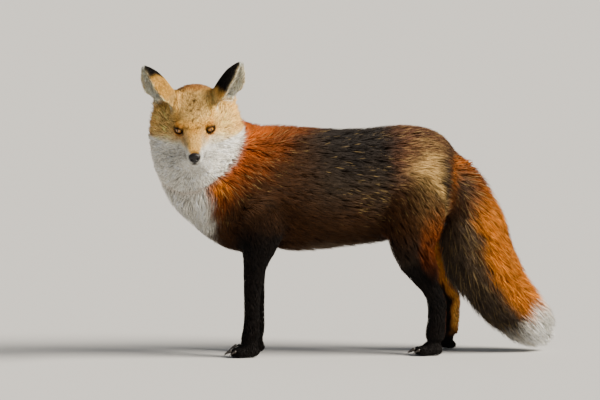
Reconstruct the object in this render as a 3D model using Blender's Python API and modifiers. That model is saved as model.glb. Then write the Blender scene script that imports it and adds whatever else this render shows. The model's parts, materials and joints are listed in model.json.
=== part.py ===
"""Red fox standing square on all four feet, its head turned to its left, as a life-size display model.

The fox faces -Y, its left side is +X and the floor is Z = 0. Every number in the tables below is in
millimetres on a fox whose withers stand at TABLE_WITHERS, and WITHERS_HEIGHT scales them all.
The outline is that of the winter coat, out to the tips of the hair.
"""

import math

import bmesh
import bpy
from mathutils import Matrix, Vector

# ---------------------------------------------------------------- driving dimensions
WITHERS_HEIGHT = 0.412
TABLE_WITHERS = 412
UNIT = WITHERS_HEIGHT / TABLE_WITHERS
GAP = 0.3 * UNIT  # clearance between solids that meet

RING_SIDES = 24  # points round a section of the body
REGION_SIDES = 16  # points round a section of the surface that a limb is cut free along
VOXEL = 3 * UNIT  # cell in which the overlapping forms are melted into one skin
BROAD_SMOOTHING = 24  # turns of smoothing on the broad forms
FINE_SMOOTHING = 3  # and everywhere
BODY_TRIANGLES = 3000

# The head: where the middle of the two eyeballs is, and how the head is turned, nodded and tipped.
EYES_MIDDLE = (112, -292, 420)
HEAD_TURN = math.radians(83)
HEAD_NOD = math.radians(22)
HEAD_TIP = math.radians(-2.5)
EYE_SPREAD = 26
EYE_RADIUS = 8.5
EYE_DEPTH = -3


def mm(*numbers):
    """A point given in table millimetres, as a vector in metres."""
    return Vector(numbers) * UNIT


HEAD_FRAME = (
    Matrix.Translation(mm(*EYES_MIDDLE))
    @ Matrix.Rotation(HEAD_TURN, 4, "Z")
    @ Matrix.Rotation(HEAD_NOD, 4, "X")
    @ Matrix.Rotation(HEAD_TIP, 4, "Y")
)

# ---------------------------------------------------------------- tables of sections
# Each row of a loft is one section: its middle (x, y, z), then half its width across, how far it
# reaches on its hinted side and how far on the other side.

TRUNK = (
    (0, -212, 252, 46, 62, 68),
    (0, -180, 282, 64, 120, 99),
    (0, -130, 298, 73, 119, 111),
    (0, -80, 300, 78, 111, 108),
    (0, -30, 302, 80, 106, 107),
    (0, 20, 304, 78, 104, 105),
    (0, 60, 308, 74, 103, 103),
    (0, 100, 312, 74, 102, 92),
    (0, 135, 312, 74, 96, 84),
    (0, 162, 308, 66, 82, 78),
    (0, 180, 305, 48, 60, 62),
    (0, 190, 305, 24, 34, 36),
)

NECK = (
    (0, -110, 302, 68, 106, 108),
    (2, -175, 318, 74, 102, 128),
    (10, -234, 345, 78, 90, 112),
    (28, -268, 372, 82, 96, 104),
    (48, -282, 390, 82, 100, 96),
    (68, -286, 400, 70, 90, 84),
)

TAIL = (
    (0, 140, 340, 30, 30, 34),
    (0, 176, 338, 34, 34, 38),
    (0, 204, 312, 38, 38, 40),
    (0, 221, 278, 43, 43, 49),
    (0, 233, 229, 52, 54, 60),
    (0, 243, 178, 56, 59, 63),
    (0, 257, 138, 57, 59, 59),
    (0, 279, 102, 54, 56, 56),
    (0, 308, 72, 48, 52, 50),
    (0, 337, 46, 38, 41, 40),
    (0, 355, 29, 24, 26, 26),
    (0, 364, 19, 9, 10, 10),
)

FORELEG = (
    (34, -150, 300, 34, 46, 50),
    (44, -160, 250, 33, 46, 48),
    (47, -168, 208, 27, 34, 38),
    (46, -177, 168, 20, 24, 26),
    (45, -181, 128, 17, 19, 20),
    (44, -182, 86, 15, 17, 17),
    (44, -183, 50, 15, 17, 17),
    (44, -186, 24, 15, 18, 15),
)

HINDLEG = (
    (40, 128, 320, 38, 60, 50),
    (50, 118, 270, 38, 58, 46),
    (53, 108, 230, 33, 50, 44),
    (54, 104, 198, 27, 42, 36),
    (53, 112, 168, 21, 30, 28),
    (52, 128, 140, 17, 22, 22),
    (51, 145, 117, 14, 19, 19),
    (51, 153, 96, 14, 20, 20),
    (51, 153, 62, 14, 20, 19),
    (51, 150, 28, 15, 20, 18),
)

# How far back each foot stands from the table's leg, which bends in proportion to its depth below the hip.
STANCE = {
    "foreleg_left": 0,
    "foreleg_right": 20,
    "hindleg_left": 0,
    "hindleg_right": 40,
}
# The long hair behind the right thigh stands out further towards the tail, by this much at each height.
BREECHES = {"hindleg_right": {270: 6, 230: 17, 198: 25, 168: 20, 140: 8}}

# Sections of the head, in the head's own frame: -Y forward, +X the fox's left, from between the eyes.
SKULL = (
    (0, -81, -25, 9, 9, 8),
    (0, -73, -25, 14, 13, 15),
    (0, -56, -23, 16, 14, 20),
    (0, -38, -20, 19, 17, 22),
    (0, -18, -15, 25, 20, 27),
    (0, 2, -10, 36, 28, 31),
    (0, 24, -6, 50, 43, 36),
    (0, 48, -4, 60, 55, 42),
    (0, 70, -8, 60, 57, 44),
    (0, 92, -14, 50, 48, 42),
)

CHEEK_RUFF = (
    (14, 0, -22, 16, 14, 18),
    (34, 22, -24, 21, 30, 32),
    (54, 40, -22, 20, 44, 46),
    (70, 54, -20, 17, 48, 50),
    (81, 64, -20, 9, 34, 36),
)

CHIN_RUFF = (
    (0, -60, -34, 11, 9, 9),
    (0, -40, -40, 19, 16, 17),
    (0, -16, -50, 31, 26, 28),
    (0, 10, -64, 44, 38, 44),
    (0, 36, -78, 58, 52, 52),
    (0, 60, -80, 58, 52, 52),
)

# The face keeps its small forms within this radius of the muzzle's middle, and fades to the broad ones.
MUZZLE_MIDDLE = (0, -34, -16)
FACE_RADIUS = 48
FACE_FADE = 30

# The ear: distance up from its base, half its width, and how deep its cup is.
EAR = (
    (-16, 26, 34),
    (4, 28, 38),
    (22, 28, 38),
    (40, 25, 36),
    (56, 18.5, 30),
    (70, 11, 18),
    (80, 4.5, 6),
)
EAR_WALL = 4.5
EAR_SIDES = 8
EAR_BASE = (46, 46, 24)
EAR_TIP = (88, 46, 104)
EAR_OPENS = math.radians(55)
EAR_RIM = 0.4  # how far the rim stands ahead of the ear's own axis, as a share of the cup's depth

NOSE_MIDDLE = (0, -80, -19)
NOSE_RADII = (10.5, 7, 8)

# Colour and roughness of each finish, and the finish of the nodes whose names start so.
FINISHES = {
    "coat_red": ((0.42, 0.15, 0.04), 0.85),
    "coat_grizzled": ((0.20, 0.11, 0.06), 0.9),
    "coat_dark": ((0.03, 0.022, 0.018), 0.85),
    "coat_white": ((0.62, 0.55, 0.45), 0.85),
    "eye": ((0.45, 0.20, 0.03), 0.05),
    "nose_leather": ((0.012, 0.011, 0.011), 0.4),
    "claw_horn": ((0.05, 0.04, 0.035), 0.35),
}
NODE_FINISHES = (
    ("eye", "eye"),
    ("nose", "nose_leather"),
    ("claw", "claw_horn"),
    ("ear", "coat_dark"),
    ("fore", "coat_dark"),
    ("hindpaw", "coat_dark"),
    ("hock", "coat_dark"),
    ("tail_tip", "coat_white"),
    ("chest", "coat_grizzled"),
    ("loin", "coat_grizzled"),
)

# The paws. The pads are modelled a little below the floor and cut off flat at it.
PALM_MIDDLE = (0, 4, 10)
PALM_RADII = (18, 24, 14)
TOE_RADII = (7.6, 13, 11.5)
TOE_HEIGHT = 8
TOE_STEP = 9.4  # between the middles of neighbouring toes
TOE_REACH = {"outer": 11.6, "inner": 19.1}  # how far the toes stand ahead of the paw's middle
PAW_FORWARD = {"fore": 6, "hind": 10}  # how far the paw's middle stands ahead of the leg's
CLAW_ROOT = 10  # ahead of its toe's middle
CLAW_LENGTH = 11
CLAW_RADIUS = 2.6
CLAW_TIP_HEIGHT = 3.5
CLAW_DROP = 8
CLAW_SIDES = 5

# Where the body is parted: each cut is a disc's middle, its normal and its radius.
HEAD_CUT = ((36, -272, 380), (0.69, -0.44, 0.57), 110)
NECK_CUT = ((0, -162, 318), (0, -0.8, 0.6), 165)
CHEST_CUT = ((0, -52, 300), (0, -1, 0), 130)
RUMP_CUT = ((0, 56, 305), (0, -1, 0), 130)
TAIL_CUTS = (
    ("tail_root", ((0, 238, 205), (0, 0.2, -0.98), 75)),
    ("tail_middle", ((0, 326, 56), (0, 0.75, -0.66), 60)),
)
WRIST_HEIGHT = 44
WRIST_RADIUS = 34
KNEE_HEIGHT = 176
KNEE_NORMAL = (0, -0.35, 0.94)
KNEE_RADIUS = 60
HOCK_HEIGHT = 104
HOCK_RADIUS = 40
REGION_MARGIN = 4  # how far outside a limb's own sections it is cut free

# The rounded top of each leg where it lies against the body, above the leg's own sections.
SHOULDER_TOP = ((50, -158, 286, 23, 16, 16), (47, -158, 270, 31, 36, 38))
THIGH_TOP = ((54, 126, 334, 23, 14, 14), (52, 124, 316, 29, 38, 32), (51, 122, 296, 34, 52, 42))


# ---------------------------------------------------------------- modelling helpers
def clear_scene():
    for obj in list(bpy.data.objects):
        bpy.data.objects.remove(obj, do_unlink=True)


def make_material(name, colour, roughness):
    material = bpy.data.materials.new(name)
    material.use_nodes = True
    shader = material.node_tree.nodes["Principled BSDF"]
    shader.inputs["Base Color"].default_value = (*colour, 1)
    shader.inputs["Roughness"].default_value = roughness
    material.diffuse_color = (*colour, 1)
    return material


def new_object(name, bm, collection):
    mesh = bpy.data.meshes.new(name)
    bm.to_mesh(mesh)
    bm.free()
    obj = bpy.data.objects.new(name, mesh)
    collection.objects.link(obj)
    return obj


def between(before, start, end, after, t):
    """A Catmull-Rom step from start to end, on every number of the rows."""
    return tuple(
        0.5 * (2 * b + (c - a) * t + (2 * a - 5 * b + 4 * c - d) * t * t + (3 * b - a - 3 * c + d) * t**3)
        for a, b, c, d in zip(before, start, end, after)
    )


def smooth_rows(rows, steps):
    """The rows with more between them, along a smooth curve through them all."""
    padded = (rows[0], *rows, rows[-1])
    found = [
        between(*padded[i : i + 4], k / steps) for i in range(len(rows) - 1) for k in range(steps)
    ]
    return found + [rows[-1]]


def loft(name, rows, hint, collection, frame=None, sides=RING_SIDES, steps=4):
    """A closed skin over the sections. A section's first reach is towards hint, its second away from it."""
    rows = smooth_rows([tuple(value * UNIT for value in row) for row in rows], steps)
    middles = [Vector(row[:3]) for row in rows]
    bm = bmesh.new()
    rings = []
    for i, (_, _, _, across, near, far) in enumerate(rows):
        along = (middles[min(i + 1, len(rows) - 1)] - middles[max(i - 1, 0)]).normalized()
        towards = (hint - along * hint.dot(along)).normalized()
        side = along.cross(towards)
        ring = []
        for k in range(sides):
            angle = 2 * math.pi * k / sides
            reach = near if math.sin(angle) > 0 else far
            point = middles[i] + side * across * math.cos(angle) + towards * reach * math.sin(angle)
            ring.append(bm.verts.new(point))
        rings.append(ring)
    for first, second in zip(rings, rings[1:]):
        for k in range(sides):
            after = (k + 1) % sides
            bm.faces.new((first[k], first[after], second[after], second[k]))
    bm.faces.new(rings[0])
    bm.faces.new(rings[-1])
    bmesh.ops.recalc_face_normals(bm, faces=bm.faces)
    bmesh.ops.triangulate(bm, faces=bm.faces)
    if frame:
        bm.transform(frame)
    return new_object(name, bm, collection)


def ball(name, centre, radii, collection, frame=None, segments=11):
    """An ellipsoid with its own half lengths along X, Y and Z."""
    bm = bmesh.new()
    place = Matrix.Translation(mm(*centre)) @ Matrix.Diagonal((*mm(*radii), 1))
    bmesh.ops.create_uvsphere(
        bm, u_segments=segments, v_segments=segments // 2 + 2, radius=1, matrix=place
    )
    if frame:
        bm.transform(frame)
    return new_object(name, bm, collection)


def mirrored(rows):
    return tuple((-row[0], *row[1:]) for row in rows)


def apply_modifiers(obj):
    graph = bpy.context.evaluated_depsgraph_get()
    mesh = bpy.data.meshes.new_from_object(obj.evaluated_get(graph))
    obj.modifiers.clear()
    obj.data = mesh


def joined(name, pieces, collection):
    """One object with the meshes of the pieces, which are removed."""
    bm = bmesh.new()
    for piece in pieces:
        bm.from_mesh(piece.data)
        bpy.data.objects.remove(piece)
    return new_object(name, bm, collection)


def boolean(obj, other, operation):
    modifier = obj.modifiers.new(operation.lower(), "BOOLEAN")
    modifier.operation = operation
    modifier.object = other
    modifier.solver = "EXACT"
    apply_modifiers(obj)


def grown(obj, by, name, collection):
    """A copy whose skin stands out by a little, to cut its neighbour with."""
    bm = bmesh.new()
    bm.from_mesh(obj.data)
    bm.normal_update()
    for vertex in bm.verts:
        vertex.co += vertex.normal * by
    return new_object(name, bm, collection)


# ---------------------------------------------------------------- the whole animal, to be parted
def leg_rows(rows, side, step_back, breeches):
    """A leg of the table on its side of the body, its foot moved back and its long hair fuller behind."""
    top = rows[0][2]
    moved = []
    for x, y, z, across, front, back in rows:
        depth = min(1.0, (top - z) / (top - 100))
        fuller = back + breeches.get(z, 0)
        moved.append((side * x, y + step_back * depth**1.5, z, across, front, fuller))
    return tuple(moved)


def paw_middle(name, rows):
    x, y, _, _, _, _ = rows[-1]
    return x, y - PAW_FORWARD[name[:4]]


def toe_places(x, y):
    """The middle of each of the four toes: the inner two stand further forward."""
    places = []
    for step in (-1.5, -0.5, 0.5, 1.5):
        reach = TOE_REACH["inner" if abs(step) < 1 else "outer"]
        places.append((x + step * TOE_STEP, y - reach))
    return places


def paw_pieces(x, y, collection):
    palm = (x + PALM_MIDDLE[0], y + PALM_MIDDLE[1], PALM_MIDDLE[2])
    pieces = [ball("palm", palm, PALM_RADII, collection)]
    for toe_x, toe_y in toe_places(x, y):
        pieces.append(ball("toe", (toe_x, toe_y, TOE_HEIGHT), TOE_RADII, collection))
    return pieces


def whole_animal(collection):
    up, front = Vector((0, 0, 1)), Vector((0, -1, 0))
    pieces = [
        loft("trunk", TRUNK, up, collection),
        loft("neck", NECK, up, collection),
        loft("tail", TAIL, Vector((0, 0.7, 0.7)), collection),
        loft("skull", SKULL, up, collection, HEAD_FRAME),
        loft("chin", CHIN_RUFF, up, collection, HEAD_FRAME),
    ]
    for rows in (CHEEK_RUFF, mirrored(CHEEK_RUFF)):
        pieces.append(loft("cheek", rows, up, collection, HEAD_FRAME))
    legs = {}
    for name, step_back in STANCE.items():
        rows = FORELEG if name.startswith("fore") else HINDLEG
        side = 1 if name.endswith("left") else -1
        legs[name] = leg_rows(rows, side, step_back, BREECHES.get(name, {}))
        pieces.append(loft(name, legs[name], front, collection))
        pieces += paw_pieces(*paw_middle(name, legs[name]), collection)
    return joined("fox", pieces, collection), legs


def fine_weight(point, legs):
    """1 on the face and paws, whose shapes are small, falling to 0 on the body."""
    face = (point - HEAD_FRAME @ mm(*MUZZLE_MIDDLE)).length / UNIT
    near_face = 1 - min(1, max(0, (face - FACE_RADIUS) / FACE_FADE))
    near_floor = 1 - min(1, max(0, (point.z / UNIT - 40) / 30))
    feet = [Vector(paw_middle(name, rows)) * UNIT for name, rows in legs.items()]
    near_paw = min((point.xy - foot).length for foot in feet) < 50 * UNIT
    return max(near_face, near_floor if near_paw else 0)


def add_weights(obj, legs):
    group = obj.vertex_groups.new(name="broad")
    for vertex in obj.data.vertices:
        group.add([vertex.index], 1 - fine_weight(vertex.co, legs), "REPLACE")


def melt_together(obj, legs):
    """One closed skin round all that overlaps, smoothed where the broad forms meet, in few triangles."""
    remesh = obj.modifiers.new("remesh", "REMESH")
    remesh.mode = "VOXEL"
    remesh.voxel_size = VOXEL
    apply_modifiers(obj)
    add_weights(obj, legs)
    for turns, group in ((BROAD_SMOOTHING, "broad"), (FINE_SMOOTHING, "")):
        smooth = obj.modifiers.new("smooth", "SMOOTH")
        smooth.factor = 0.5
        smooth.iterations = turns
        smooth.vertex_group = group
    apply_modifiers(obj)
    triangles = sum(len(face.vertices) - 2 for face in obj.data.polygons)
    fewer = obj.modifiers.new("fewer", "DECIMATE")
    fewer.ratio = BODY_TRIANGLES / triangles
    apply_modifiers(obj)


def cut_soles_flat(obj):
    bm = bmesh.new()
    bm.from_mesh(obj.data)
    cut = bmesh.ops.bisect_plane(
        bm,
        geom=[*bm.verts, *bm.edges, *bm.faces],
        plane_co=(0, 0, 0),
        plane_no=(0, 0, -1),
        clear_outer=True,
    )
    edges = [item for item in cut["geom_cut"] if isinstance(item, bmesh.types.BMEdge)]
    bmesh.ops.holes_fill(bm, edges=edges, sides=0)
    bmesh.ops.recalc_face_normals(bm, faces=bm.faces)
    bm.to_mesh(obj.data)
    bm.free()


# ---------------------------------------------------------------- parting the animal
def thin_disc(name, centre, normal, radius, collection):
    """A disc as thick as the gap between two solids, centred on the cut."""
    turn = Vector((0, 0, 1)).rotation_difference(Vector(normal)).to_matrix().to_4x4()
    bm = bmesh.new()
    bmesh.ops.create_cone(
        bm,
        cap_ends=True,
        segments=32,
        radius1=radius * UNIT,
        radius2=radius * UNIT,
        depth=GAP,
        matrix=Matrix.Translation(mm(*centre)) @ turn,
    )
    return new_object(name, bm, collection)


def connected(unseen):
    """Takes one vertex out of the set, with all that it is joined to by edges."""
    found = set()
    waiting = [unseen.pop()]
    while waiting:
        vertex = waiting.pop()
        found.add(vertex)
        for edge in vertex.link_edges:
            other = edge.other_vert(vertex)
            if other in unseen:
                unseen.remove(other)
                waiting.append(other)
    return found


def parts_of(obj, count, collection):
    """The largest loose parts of obj, each an object of its own. The waste of a cut is dropped."""
    bm = bmesh.new()
    bm.from_mesh(obj.data)
    bm.verts.index_update()
    unseen = set(bm.verts)
    found = []
    while unseen:
        found.append({vertex.index for vertex in connected(unseen)})
    found.sort(key=len, reverse=True)
    pieces = []
    for indices in found[:count]:
        part = bm.copy()
        loose = [vertex for vertex in part.verts if vertex.index not in indices]
        bmesh.ops.delete(part, geom=loose, context="VERTS")
        pieces.append(new_object("piece", part, collection))
    bm.free()
    bpy.data.objects.remove(obj)
    return pieces


def middle(obj):
    return sum((vertex.co for vertex in obj.data.vertices), Vector()) / len(obj.data.vertices)


def cut_in_two(obj, cut, collection):
    """Cuts obj through with a thin disc. Returns what is behind the disc, then what is ahead of it."""
    centre, normal, radius = cut
    disc = thin_disc("disc", centre, normal, radius, collection)
    boolean(obj, disc, "DIFFERENCE")
    bpy.data.objects.remove(disc)
    pieces = parts_of(obj, 2, collection)
    pieces.sort(key=lambda piece: (middle(piece) - mm(*centre)).dot(Vector(normal)))
    return pieces


def cut_free(obj, region, collection):
    """Cuts obj along the skin of the region. Returns what is outside it, then what is inside."""
    inside = bpy.data.objects.new("inside", obj.data.copy())
    collection.objects.link(inside)
    boolean(inside, region, "INTERSECT")
    wider = grown(region, 1.5 * GAP, "wider", collection)
    boolean(obj, wider, "DIFFERENCE")
    for helper in (wider, region):
        bpy.data.objects.remove(helper)
    return parts_of(obj, 1, collection)[0], parts_of(inside, 1, collection)[0]


def region_round(rows, hint, collection):
    """A coarse closed skin a little outside these sections, to cut the body along."""
    wider = tuple((*row[:3], *(reach + REGION_MARGIN for reach in row[3:])) for row in rows)
    return loft("region", wider, hint, collection, sides=REGION_SIDES, steps=1)


# ---------------------------------------------------------------- ears, eyes, nose and claws
def ear(name, side, collection):
    """A cupped shell that narrows to its tip and opens to the front and outward. The side is 1 or -1."""
    base, top = mm(side * EAR_BASE[0], *EAR_BASE[1:]), mm(side * EAR_TIP[0], *EAR_TIP[1:])
    up = (top - base).normalized()
    facing = Vector((side * math.sin(EAR_OPENS), -math.cos(EAR_OPENS), 0))
    facing = (facing - up * up.dot(facing)).normalized()
    across = up.cross(facing)
    stretch = (top - base).length / (EAR[-1][0] * UNIT)
    bm = bmesh.new()
    rings = []
    for height, half_width, depth in EAR:
        wall = min(EAR_WALL, half_width * 0.45, depth * 0.6)
        ring = []
        for inner in (False, True):
            for k in range(EAR_SIDES + 1):
                angle = math.pi * (k if not inner else EAR_SIDES - k) / EAR_SIDES
                wide = (half_width - wall * inner) * math.cos(angle)
                back = (depth - wall * inner * 1.2) * math.sin(angle)
                place = base + up * height * stretch * UNIT + across * wide * UNIT
                ring.append(bm.verts.new(place + facing * (depth * EAR_RIM - back) * UNIT))
        rings.append(ring)
    for first, second in zip(rings, rings[1:]):
        for k in range(len(first)):
            after = (k + 1) % len(first)
            bm.faces.new((first[k], first[after], second[after], second[k]))
    for ring in (rings[0], rings[-1]):
        for k in range(EAR_SIDES):
            bm.faces.new((ring[k], ring[k + 1], ring[-2 - k], ring[-1 - k]))
    bmesh.ops.recalc_face_normals(bm, faces=bm.faces)
    bm.transform(HEAD_FRAME)
    return new_object(name, bm, collection)


def claw(name, x, y, collection):
    """A short curved cone that leaves the end of a toe and points down, clear of the floor."""
    bm = bmesh.new()
    rings = []
    for t in (0, 0.5, 1):
        height = CLAW_TIP_HEIGHT + CLAW_DROP * (1 - t) ** 0.7
        place = Matrix.Translation(mm(x, y - CLAW_LENGTH * t, height))
        turn = Matrix.Rotation(math.radians(90 + 25 * t), 4, "X")
        radius = CLAW_RADIUS * (1 - 0.8 * t) * UNIT
        made = bmesh.ops.create_circle(
            bm, segments=CLAW_SIDES, radius=radius, matrix=place @ turn
        )
        rings.append(made["verts"])
    for first, second in zip(rings, rings[1:]):
        for k in range(CLAW_SIDES):
            after = (k + 1) % CLAW_SIDES
            bm.faces.new((first[k], first[after], second[after], second[k]))
    bm.faces.new(rings[0])
    bm.faces.new(rings[-1])
    bmesh.ops.recalc_face_normals(bm, faces=bm.faces)
    return new_object(name, bm, collection)


def trim(obj, other, collection):
    """Cuts away from obj what is inside other, and the gap round it."""
    wider = grown(other, GAP, "wider", collection)
    boolean(obj, wider, "DIFFERENCE")
    bpy.data.objects.remove(wider)
    return parts_of(obj, 1, collection)[0]


# ---------------------------------------------------------------- assembly
def part_leg(body, name, rows, nodes, helpers):
    """Takes one leg off the body: its paw, then the limb along its own skin, cut again at its joints."""
    x, y, _, _, _, _ = rows[-1]
    nodes[name.replace("leg", "paw")], body = cut_in_two(
        body, ((x, y, WRIST_HEIGHT), (0, 0, 1), WRIST_RADIUS), helpers
    )
    side = 1 if x > 0 else -1
    top = SHOULDER_TOP if name.startswith("fore") else THIGH_TOP
    top = tuple((side * row[0], *row[1:]) for row in top)
    region = region_round(top + rows[1:], Vector((0, -1, 0)), helpers)
    body, limb = cut_free(body, region, helpers)
    if name.startswith("fore"):
        nodes[name] = limb
        return body
    knee = row_at(rows, KNEE_HEIGHT)
    hock = row_at(rows, HOCK_HEIGHT)
    lower, nodes[name.replace("hindleg", "thigh")] = cut_in_two(
        limb, ((knee[0], knee[1], KNEE_HEIGHT), KNEE_NORMAL, KNEE_RADIUS), helpers
    )
    nodes[name.replace("hindleg", "hock")], nodes[name.replace("hindleg", "shank")] = cut_in_two(
        lower, ((hock[0], hock[1], HOCK_HEIGHT), (0, 0, 1), HOCK_RADIUS), helpers
    )
    return body


def row_at(rows, height):
    """The row of a leg's table whose section is nearest to this height."""
    return min(rows, key=lambda row: abs(row[2] - height))


def part_body(body, legs, nodes, helpers):
    for name, rows in legs.items():
        body = part_leg(body, name, rows, nodes, helpers)
    region = region_round(TAIL[1:], Vector((0, 0.7, 0.7)), helpers)
    body, tail = cut_free(body, region, helpers)
    for name, cut in TAIL_CUTS:
        nodes[name], tail = cut_in_two(tail, cut, helpers)
    nodes["tail_tip"] = tail
    body, nodes["head"] = cut_in_two(body, HEAD_CUT, helpers)
    body, nodes["neck"] = cut_in_two(body, NECK_CUT, helpers)
    body, nodes["chest"] = cut_in_two(body, CHEST_CUT, helpers)
    nodes["rump"], nodes["loin"] = cut_in_two(body, RUMP_CUT, helpers)


def add_head_pieces(nodes, helpers):
    nodes["nose"] = ball("nose", NOSE_MIDDLE, NOSE_RADII, helpers, HEAD_FRAME)
    nodes["head"] = trim(nodes["head"], nodes["nose"], helpers)
    for side, name in ((1, "left"), (-1, "right")):
        eye = ball(
            "eye", (side * EYE_SPREAD, EYE_DEPTH, 0), (EYE_RADIUS,) * 3, helpers, HEAD_FRAME
        )
        nodes[f"eye_{name}"] = eye
        nodes["head"] = trim(nodes["head"], eye, helpers)
    for side, name in ((1, "ear_left"), (-1, "ear_right")):
        nodes[name] = trim(ear(name, side, helpers), nodes["head"], helpers)


def add_claws(nodes, legs, helpers):
    for name, rows in legs.items():
        paw = name.replace("leg", "paw")
        for k, (x, y) in enumerate(toe_places(*paw_middle(name, rows)), start=1):
            made = claw("claw", x, y - CLAW_ROOT, helpers)
            nodes[f"claw_{paw.replace('paw', '')}_{k}"] = trim(made, nodes[paw], helpers)


def finish(nodes, fox):
    """Names the solids, gives each its material, and puts the origin under the middle of the whole."""
    materials = {
        name: make_material(name, colour, roughness) for name, (colour, roughness) in FINISHES.items()
    }
    points = [vertex.co for obj in nodes.values() for vertex in obj.data.vertices]
    low = Vector([min(point[axis] for point in points) for axis in range(3)])
    high = Vector([max(point[axis] for point in points) for axis in range(3)])
    shift = Matrix.Translation((-(low.x + high.x) / 2, -(low.y + high.y) / 2, 0))
    for name, obj in nodes.items():
        obj.name = name
        obj.data.name = name
        obj.data.transform(shift)
        obj.data.materials.clear()
        obj.data.materials.append(materials[finish_of(name)])
        obj.vertex_groups.clear()
        for collection in list(obj.users_collection):
            collection.objects.unlink(obj)
        fox.objects.link(obj)


def finish_of(name):
    for start, finish_name in NODE_FINISHES:
        if name.startswith(start):
            return finish_name
    return "coat_red"


def main():
    clear_scene()
    fox = bpy.data.collections.new("red_fox")
    helpers = bpy.data.collections.new("helpers")
    for collection in (fox, helpers):
        bpy.context.scene.collection.children.link(collection)
    body, legs = whole_animal(helpers)
    melt_together(body, legs)
    cut_soles_flat(body)
    nodes = {}
    part_body(body, legs, nodes, helpers)
    add_head_pieces(nodes, helpers)
    add_claws(nodes, legs, helpers)
    finish(nodes, fox)
    bpy.data.collections.remove(helpers)


main()
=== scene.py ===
import heapq
import json
import math

import bpy
import numpy as np
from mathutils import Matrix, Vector, noise
from mathutils.bvhtree import BVHTree
from mathutils.kdtree import KDTree


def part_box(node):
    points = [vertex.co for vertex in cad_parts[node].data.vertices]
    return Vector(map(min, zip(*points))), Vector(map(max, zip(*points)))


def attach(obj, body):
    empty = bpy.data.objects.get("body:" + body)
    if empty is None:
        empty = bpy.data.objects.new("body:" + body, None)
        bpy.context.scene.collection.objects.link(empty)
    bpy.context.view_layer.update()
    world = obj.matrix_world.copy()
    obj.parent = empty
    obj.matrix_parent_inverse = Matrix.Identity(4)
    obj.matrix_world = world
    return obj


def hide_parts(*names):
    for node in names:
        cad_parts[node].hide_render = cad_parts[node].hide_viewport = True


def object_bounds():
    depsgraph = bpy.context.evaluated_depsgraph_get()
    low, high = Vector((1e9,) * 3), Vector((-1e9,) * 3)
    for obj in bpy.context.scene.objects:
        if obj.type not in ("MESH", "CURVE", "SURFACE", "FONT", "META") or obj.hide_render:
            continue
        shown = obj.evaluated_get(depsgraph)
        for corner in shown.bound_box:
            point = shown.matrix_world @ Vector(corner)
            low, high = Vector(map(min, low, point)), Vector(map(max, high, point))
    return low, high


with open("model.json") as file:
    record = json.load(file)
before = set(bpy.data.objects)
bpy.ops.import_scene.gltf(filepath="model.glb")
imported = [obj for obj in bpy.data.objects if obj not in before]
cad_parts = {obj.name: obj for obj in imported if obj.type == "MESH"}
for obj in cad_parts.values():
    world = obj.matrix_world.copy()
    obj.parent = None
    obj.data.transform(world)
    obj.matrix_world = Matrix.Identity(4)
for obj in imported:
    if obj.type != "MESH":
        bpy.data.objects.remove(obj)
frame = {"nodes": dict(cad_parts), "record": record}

cad_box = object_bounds()

# ---------------- the body under the coat
# The taxidermist's form with the skin drawn over it: one closed hide from nose to tail tip, with no seam.
# It is melted together from the solids of flesh and lies inside them by the depth of the coat, which is
# deepest on the tail and the ruff and only a few millimetres on the face, the ears and the feet.
MM = 0.001
CELL = 3.4 * MM  # the width of the hide's faces
WELD = 1e-5
FLESH = [part["node"] for part in frame["record"]["subparts"] if part["material_slot"] == "coat"]
COAT_DEPTH = {
    "ear": 1.2, "neck": 21, "chest": 16, "loin": 15, "rump": 15, "tail_root": 22, "tail_middle": 26,
    "tail_tip": 20, "thigh": 9, "shank": 4.5, "hock": 3.5, "foreleg": 5, "forepaw": 2.5, "hindpaw": 2.5,
}


def centre(node):
    low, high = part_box(node)
    return (low + high) / 2


def deselect():
    bpy.ops.object.select_all(action="DESELECT")


def make_active(obj):
    deselect()
    obj.select_set(True)
    bpy.context.view_layer.objects.active = obj


def add_object(name, data):
    obj = bpy.data.objects.new(name, data)
    bpy.context.collection.objects.link(obj)
    return obj


def edit(obj, operator, chosen=None, **settings):
    """Runs an edit mode operator on the object's chosen faces, or on all of them."""
    make_active(obj)
    faces = obj.data.polygons
    faces.foreach_set("select", np.ones(len(faces), bool) if chosen is None else chosen)
    bpy.context.tool_settings.mesh_select_mode = (False, False, True)
    bpy.ops.object.mode_set(mode="EDIT")
    operator(**settings)
    bpy.ops.mesh.select_all(action="DESELECT")
    bpy.ops.object.mode_set(mode="OBJECT")


def add_modifier(obj, kind, **settings):
    modifier = obj.modifiers.new(kind.lower(), kind)
    for key, value in settings.items():
        setattr(modifier, key, value)
    make_active(obj)
    bpy.ops.object.modifier_apply(modifier=modifier.name)


def read(items, key, width, kind=np.float64):
    found = np.empty(len(items) * width, kind)
    items.foreach_get(key, found)
    return found.reshape(-1, width) if width > 1 else found


def normals_of(obj):
    return read(obj.data.vertex_normals, "vector", 3)


def set_points(obj, new_points):
    obj.data.vertices.foreach_set("co", new_points.astype(np.float32).ravel())
    obj.data.update()


def size(vectors):
    return np.linalg.norm(vectors, axis=1)


def ramp(low, high, value):
    """Rises smoothly from 0 where the value is at low to 1 where it is at high."""
    t = np.clip((value - low) / (high - low), 0, 1)
    return t * t * (3 - 2 * t)


deselect()
for name in FLESH + ["eye_left", "eye_right"]:
    copy = add_object("part of skin", frame["nodes"][name].data.copy())
    copy.select_set(True)
bpy.context.view_layer.objects.active = copy
bpy.ops.object.join()
skin = bpy.context.object
skin.name = "skin"
skin.data.materials.clear()
edit(skin, bpy.ops.mesh.remove_doubles, threshold=WELD)
# The solids stand a hair apart, so each is swollen until they overlap before they melt into one.
add_modifier(skin, "DISPLACE", strength=0.5 * MM, mid_level=0)
add_modifier(skin, "REMESH", mode="VOXEL", voxel_size=CELL)
add_modifier(skin, "SMOOTH", factor=0.5, iterations=3)

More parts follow.
